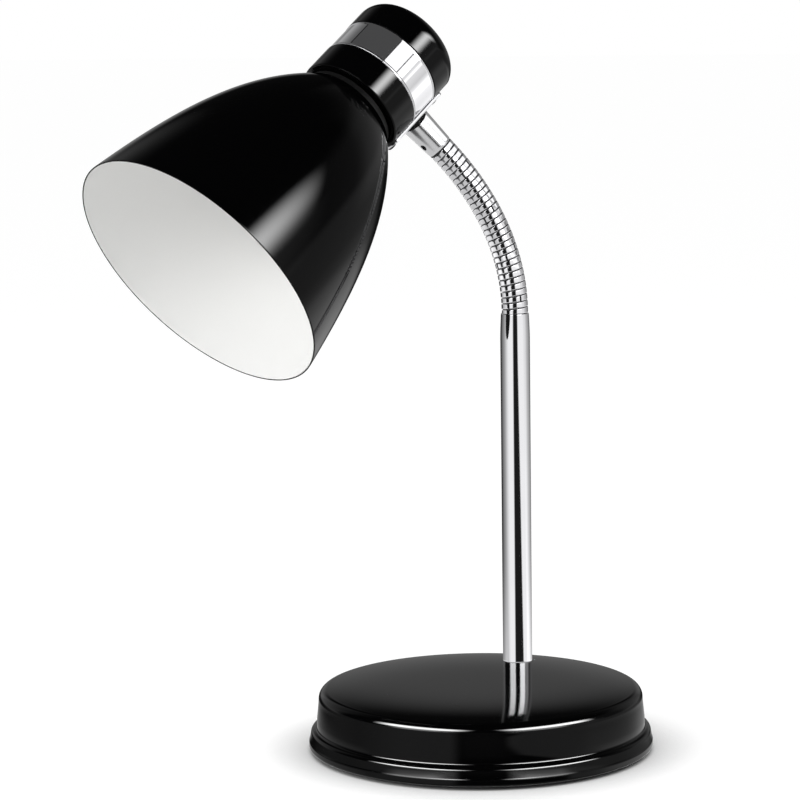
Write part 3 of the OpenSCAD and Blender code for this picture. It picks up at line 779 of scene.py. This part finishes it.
# where a strip starts and ends round the housing's axis, in degrees, and its radiance
axisCards = {
    "bandWhite": (58.5, 74.2, 1.25),
    "bandWhite2": (76.2, 110.0, 1.25),
    "bandDark": (111.5, 196.0, 0.06),
    "bandSide": (199.0, 262.0, 0.1),
}
for name, values in softBoxes.items():
    softBox(name, *values)
for name, values in axisCards.items():
    axisCard(name, *values)

world = bpy.data.worlds.new("studio")
scene.world = world
world.use_nodes = True
tree = world.node_tree
tree.nodes.clear()
sky = tree.nodes.new("ShaderNodeTexCoord").outputs["Generated"]
turn = (0, 0, math.radians(-studio["azimuth"]))
direction = addNode(tree, "ShaderNodeMapping", {"Vector": sky, "Rotation": turn}).outputs[0]
parts = addNode(tree, "ShaderNodeSeparateXYZ", {"Vector": direction}).outputs
radian = math.degrees(1)
azimuth = calc(tree, "ARCTAN2", parts[0], calc(tree, "MULTIPLY", parts[1], -1.0))
azimuth = calc(tree, "MULTIPLY", azimuth, radian)
elevation = calc(tree, "MULTIPLY", calc(tree, "ARCSINE", parts[2]), radian)


def between(value, low, high, softLow, softHigh):
    # 1 between low and high, falling to 0 over the soft degrees at each end
    rise = softStep(tree, value, low - softLow, low)
    return calc(tree, "MULTIPLY", rise, softStep(tree, value, high, high + softHigh, 1.0, 0.0))


def zone(level, az, azSoft, el, elSoft, lean=0.0, sides=False):
    # lean moves a zone to the side below -6.5 degrees, by so many degrees for each degree;
    # a zone with sides is the same to the left and the right
    around = calc(tree, "ABSOLUTE", azimuth) if sides else azimuth
    if lean:
        below = calc(tree, "ADD", calc(tree, "MINIMUM", elevation, -6.5), 6.5)
        around = calc(tree, "MULTIPLY_ADD", below, lean, azimuth)
    shape = calc(tree, "MULTIPLY", between(around, *az, *azSoft), between(elevation, *el, *elSoft))
    return calc(tree, "MULTIPLY", shape, level)


# what metal and gloss mirror: the level of each zone, its azimuth and elevation, and how soft they end
zones = [
    zone(0.75, (21, 55), (8, 50), (-15, 5), (5, 5), lean=5.0),
    zone(0.5, (21, 85), (8, 75), (-15, 5), (5, 5), lean=5.0),
    zone(0.75, (-50, -24), (50, 10), (-15, 5), (5, 5)),
    zone(0.5, (-80, -24), (75, 10), (-15, 5), (5, 5)),
    zone(0.8, (-1, 181), (1, 1), (-91, -20), (1, 6), sides=True),
    zone(0.5, (95, 181), (15, 1), (-20, -14), (6, 4), sides=True),
    zone(5.0, (22, 50), (8, 12), (7, 19), (4, 2)),
    zone(4.0, (-55, -22), (15, 8), (7, 19), (4, 2)),
    zone(1.0, (55, 78), (10, 22), (7, 19), (4, 2)),
    zone(0.2, (84, 140), (15, 20), (-10, 28), (12, 12)),
    zone(0.38, (165, 181), (12, 1), (2, 9), (6, 13), sides=True),
    zone(0.25, (128, 156), (16, 10), (5, 12), (8, 44)),
    zone(0.5, (-156, -128), (10, 16), (5, 12), (8, 44)),
]
level = 0.015  # the dark studio between the zones
for part in zones:
    level = calc(tree, "ADD", level, part)
path = tree.nodes.new("ShaderNodeLightPath").outputs
mirrored = addNode(tree, "ShaderNodeBackground", {"Strength": level})
lit = addNode(tree, "ShaderNodeBackground", {"Color": (1, 1, 1, 1), "Strength": 0.64})
plain = addNode(tree, "ShaderNodeBackground", {"Color": (1, 1, 1, 1), "Strength": 1.0})
mixed = addNode(tree, "ShaderNodeMixShader", {0: path["Is Glossy Ray"], 1: lit.outputs[0], 2: mirrored.outputs[0]})
mixed = addNode(tree, "ShaderNodeMixShader", {0: path["Is Camera Ray"], 1: mixed.outputs[0], 2: plain.outputs[0]})
toSurface(tree, mixed, "ShaderNodeOutputWorld")

# the floor: white to the camera but for the lamp's shadow, part of which is a painted contact shadow: its glow is
# dimmed wherever an occlusion test finds the lamp close by
bm = bmesh.new()
bmesh.ops.create_grid(bm, x_segments=1, y_segments=1, size=20, matrix=Matrix.Translation((0, 0, -0.0004)))
floor = asObject("floor", bm)
material, tree = blankMaterial("floor")
path = tree.nodes.new("ShaderNodeLightPath").outputs
# painted shadow: the glow the camera sees fades wherever the lamp is within 28 mm
paintedShadow = addNode(tree, "ShaderNodeAmbientOcclusion", {"Distance": 0.028}, samples=6).outputs["AO"]
glow = addNode(tree, "ShaderNodeEmission", {"Strength": calc(tree, "MULTIPLY_ADD", paintedShadow, 1.05, -0.25, clamp=True)})
cast = addNode(tree, "ShaderNodeBsdfDiffuse", {"Color": (0.3, 0.3, 0.3, 1)})
seen = addNode(tree, "ShaderNodeAddShader", {0: glow.outputs[0], 1: cast.outputs[0]})
pale = addNode(tree, "ShaderNodeBsdfDiffuse", {"Color": (0.85, 0.85, 0.85, 1)})
mixed = addNode(tree, "ShaderNodeMixShader", {0: path["Is Camera Ray"], 1: pale.outputs[0], 2: seen.outputs[0]})
toSurface(tree, mixed)
floor.data.materials.append(material)
floor.visible_glossy = False
scene.view_settings.view_transform = "Standard"
print("studio")
